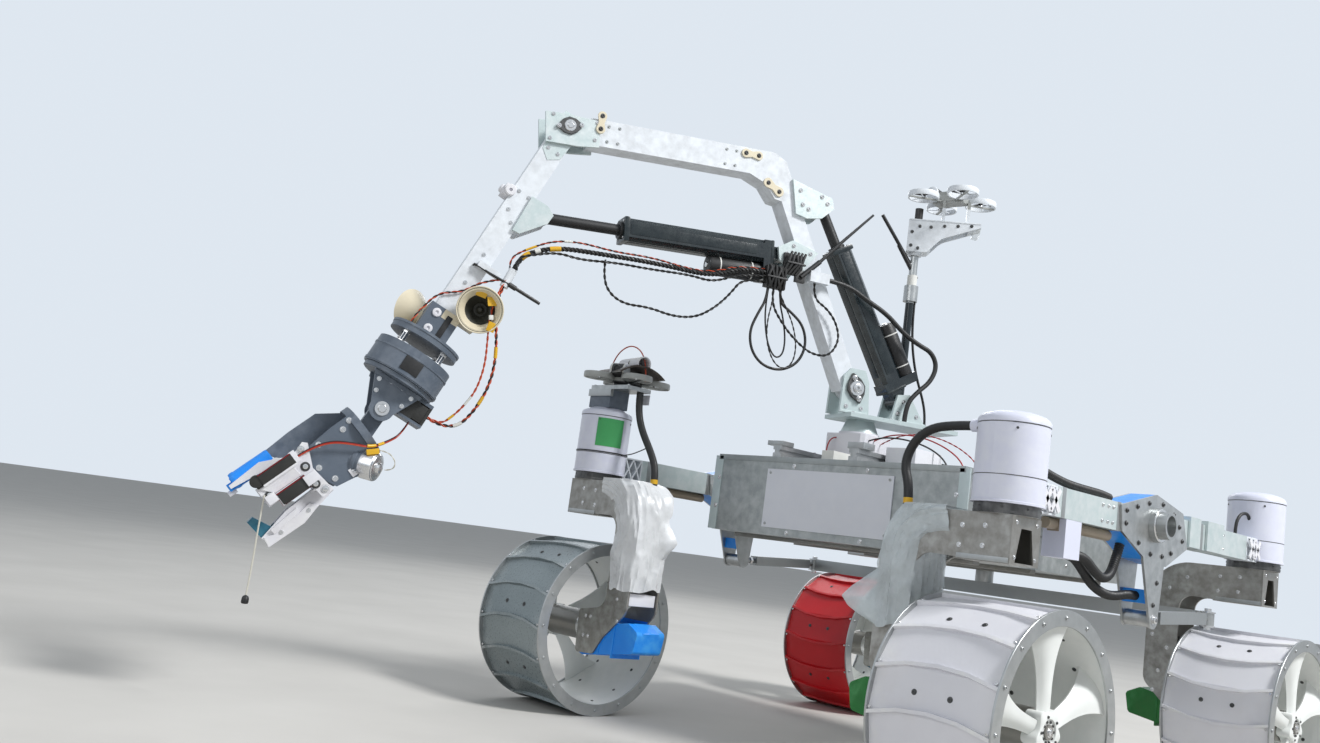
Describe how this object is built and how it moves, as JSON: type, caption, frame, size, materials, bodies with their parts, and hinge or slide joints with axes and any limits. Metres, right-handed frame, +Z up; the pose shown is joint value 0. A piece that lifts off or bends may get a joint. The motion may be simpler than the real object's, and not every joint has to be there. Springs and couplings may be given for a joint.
{
  "type": "planetary rover prototype",
  "caption": "Four-wheel rover on two rocker frames with steered forks, a box chassis and a turret arm with gripper.",
  "frame": {"origin": "on the ground, midway between the four wheels", "axes": "+X forward, +Y to the rover's left, +Z up"},
  "size_m": [1.7824, 1.106, 1.117],
  "materials": {
    "white_print": "printed plastic, fine layer lines, scuffed",
    "grey_print": "grey printed tread, worn and dusty",
    "slate_print": "slate grey printed plastic",
    "black_rubber": "black cable jacket",
    "bare_metal": "satin",
    "dark_metal": "black anodised",
    "white_panel": "satin white sheet",
    "blue_print": "blue printed plastic",
    "red_print": "red printed plastic",
    "black_print": "black printed plastic"
  },
  "bodies": {
    "chassis": {"chassis_frame": "bare_metal", "chassis_tub": "white_panel", "end_panels": "white_panel", "deck_panel": "white_panel", "deck_rails": "bare_metal", "electronics_boxes": "white_print", "turret_housing": "white_print", "rocker_beams": "bare_metal", "rocker_plates": "bare_metal", "rocker_cores": "blue_print", "pivot_axles": "bare_metal", "steering_cans": "white_print", "differential": "bare_metal", "strapped_drone": "black_print", "conduit_fl": "black_rubber", "conduit_fr": "black_rubber", "drive_hose_a": "black_rubber", "drive_hose_b": "black_rubber"},
    "steer_fl": {"fork_fl": "bare_metal"},
    "wheel_fl": {"tread_fl": "white_print", "spider_fl": "white_print"},
    "steer_fr": {"fork_fr": "bare_metal"},
    "wheel_fr": {"tread_fr": "grey_print", "spider_fr": "white_print"},
    "steer_rl": {"fork_rl": "bare_metal"},
    "wheel_rl": {"tread_rl": "white_print", "spider_rl": "white_print"},
    "steer_rr": {"fork_rr": "bare_metal"},
    "wheel_rr": {"tread_rr": "red_print", "spider_rr": "white_print"},
    "turret": {"turret_platform": "bare_metal", "mast": "white_panel", "mast_drone": "white_print", "mast_cable": "black_rubber", "turret_cable": "black_rubber"},
    "boom": {"boom_column": "white_panel", "boom_tube": "white_panel", "boom_knee": "white_panel", "boom_brackets": "white_panel", "boom_cable": "black_rubber", "boom_loop": "black_rubber", "shoulder_loop_a": "black_rubber", "shoulder_loop_b": "black_rubber"},
    "lift_cylinder": {"lift_cylinder": "dark_metal"},
    "lift_rod": {"lift_rod": "dark_metal"},
    "curl_cylinder": {"curl_cylinder": "dark_metal"},
    "curl_rod": {"curl_rod": "dark_metal"},
    "forearm": {"forearm_tube": "white_panel", "wrist_drum": "slate_print", "forearm_cable": "black_rubber"},
    "wrist": {"wrist_yoke": "slate_print", "hand_cable": "black_rubber"},
    "hand": {"hand_frame": "slate_print", "gripper_frame": "white_print"},
    "jaw_lower": {"jaw_lower": "white_print"},
    "jaw_upper": {"jaw_upper": "blue_print"},
    "rotor_1": {"rotor_1": "black_print"},
    "rotor_2": {"rotor_2": "black_print"},
    "rotor_3": {"rotor_3": "black_print"},
    "rotor_4": {"rotor_4": "black_print"}
  },
  "joints": [
    {"name": "steering_fl", "type": "hinge", "parent": "chassis", "child": "steer_fl", "pos_m": [0.445, 0.451, 0.444], "axis": [0, 0, 1], "range_deg": [-60, 60], "deforming": ["conduit_fl"]},
    {"name": "rolling_fl", "type": "hinge", "parent": "steer_fl", "child": "wheel_fl", "pos_m": [0.445, 0.458, 0.16], "axis": [0, 1, 0], "continuous": true},
    {"name": "steering_fr", "type": "hinge", "parent": "chassis", "child": "steer_fr", "pos_m": [0.445, -0.451, 0.444], "axis": [0, 0, 1], "range_deg": [-60, 60], "deforming": ["conduit_fr"]},
    {"name": "rolling_fr", "type": "hinge", "parent": "steer_fr", "child": "wheel_fr", "pos_m": [0.445, -0.458, 0.16], "axis": [0, 1, 0], "continuous": true},
    {"name": "steering_rl", "type": "hinge", "parent": "chassis", "child": "steer_rl", "pos_m": [-0.445, 0.451, 0.444], "axis": [0, 0, 1], "range_deg": [-60, 60]},
    {"name": "rolling_rl", "type": "hinge", "parent": "steer_rl", "child": "wheel_rl", "pos_m": [-0.445, 0.458, 0.16], "axis": [0, 1, 0], "continuous": true},
    {"name": "steering_rr", "type": "hinge", "parent": "chassis", "child": "steer_rr", "pos_m": [-0.445, -0.451, 0.444], "axis": [0, 0, 1], "range_deg": [-60, 60]},
    {"name": "rolling_rr", "type": "hinge", "parent": "steer_rr", "child": "wheel_rr", "pos_m": [-0.445, -0.458, 0.16], "axis": [0, 1, 0], "continuous": true},
    {"name": "turret_turn", "type": "hinge", "parent": "chassis", "child": "turret", "pos_m": [0.16, -0.045, 0.6], "axis": [0, 0, 1], "range_deg": [-100, 100]},
    {"name": "boom_lift", "type": "hinge", "parent": "turret", "child": "boom", "pos_m": [0.19152, -0.05774, 0.668], "axis": [0.3746, 0.9272, 0], "range_deg": [-20, 15], "deforming": ["turret_cable"]},
    {"name": "lift_pivot", "type": "hinge", "parent": "turret", "child": "lift_cylinder", "pos_m": [0.09232, -0.01765, 0.66], "axis": [0.3746, 0.9272, 0], "range_deg": [-17.48, 13.11]},
    {"name": "lift_stroke", "type": "slide", "parent": "lift_cylinder", "child": "lift_rod", "axis": [0.4821, -0.1948, 0.8542], "range_m": [-0.03203, 0.02402]},
    {"name": "elbow", "type": "hinge", "parent": "boom", "child": "forearm", "pos_m": [0.76452, -0.28924, 1.026], "axis": [0.3746, 0.9272, 0], "range_deg": [-40, 15], "deforming": ["boom_cable"]},
    {"name": "curl_pivot", "type": "hinge", "parent": "boom", "child": "curl_cylinder", "pos_m": [0.35285, -0.12292, 0.893], "axis": [0.3746, 0.9272, 0], "range_deg": [-4.91, 1.84]},
    {"name": "curl_stroke", "type": "slide", "parent": "curl_cylinder", "child": "curl_rod", "axis": [0.9249, -0.3737, -0.0694], "range_m": [-0.04049, 0.10797]},
    {"name": "wrist_roll", "type": "hinge", "parent": "forearm", "child": "wrist", "pos_m": [0.96121, -0.36871, 0.53812], "axis": [0.3697, -0.1494, -0.9171], "range_deg": [-90, 90], "deforming": ["forearm_cable"]},
    {"name": "wrist_pitch", "type": "hinge", "parent": "wrist", "child": "hand", "pos_m": [0.98265, -0.37737, 0.48494], "axis": [0.3746, 0.9272, 0], "range_deg": [-50, 40], "deforming": ["hand_cable"]},
    {"name": "lower_jaw", "type": "hinge", "parent": "hand", "child": "jaw_lower", "pos_m": [1.04346, -0.40194, 0.34608], "axis": [0.3746, 0.9272, 0], "range_deg": [0, 25]},
    {"name": "upper_jaw", "type": "hinge", "parent": "hand", "child": "jaw_upper", "pos_m": [1.11492, -0.43081, 0.37507], "axis": [0.3746, 0.9272, 0], "range_deg": [-20, 0]},
    {"name": "rotor_spin_1", "type": "hinge", "parent": "turret", "child": "rotor_1", "pos_m": [0.06105, -0.0272, 1.089], "axis": [0, 0, 1], "continuous": true},
    {"name": "rotor_spin_2", "type": "hinge", "parent": "turret", "child": "rotor_2", "pos_m": [0.04863, 0.05587, 1.089], "axis": [0, 0, 1], "continuous": true},
    {"name": "rotor_spin_3", "type": "hinge", "parent": "turret", "child": "rotor_3", "pos_m": [-0.03445, 0.04346, 1.089], "axis": [0, 0, 1], "continuous": true},
    {"name": "rotor_spin_4", "type": "hinge", "parent": "turret", "child": "rotor_4", "pos_m": [-0.02203, -0.03962, 1.089], "axis": [0, 0, 1], "continuous": true}
  ],
  "couplings": [
    {"joint": "lift_pivot", "follows": "boom_lift", "ratio": 0.85687},
    {"joint": "lift_stroke", "follows": "boom_lift", "m_per_rad": 0.089955},
    {"joint": "curl_pivot", "follows": "elbow", "ratio": 0.12043},
    {"joint": "curl_stroke", "follows": "elbow", "m_per_rad": -0.15163}
  ]
}
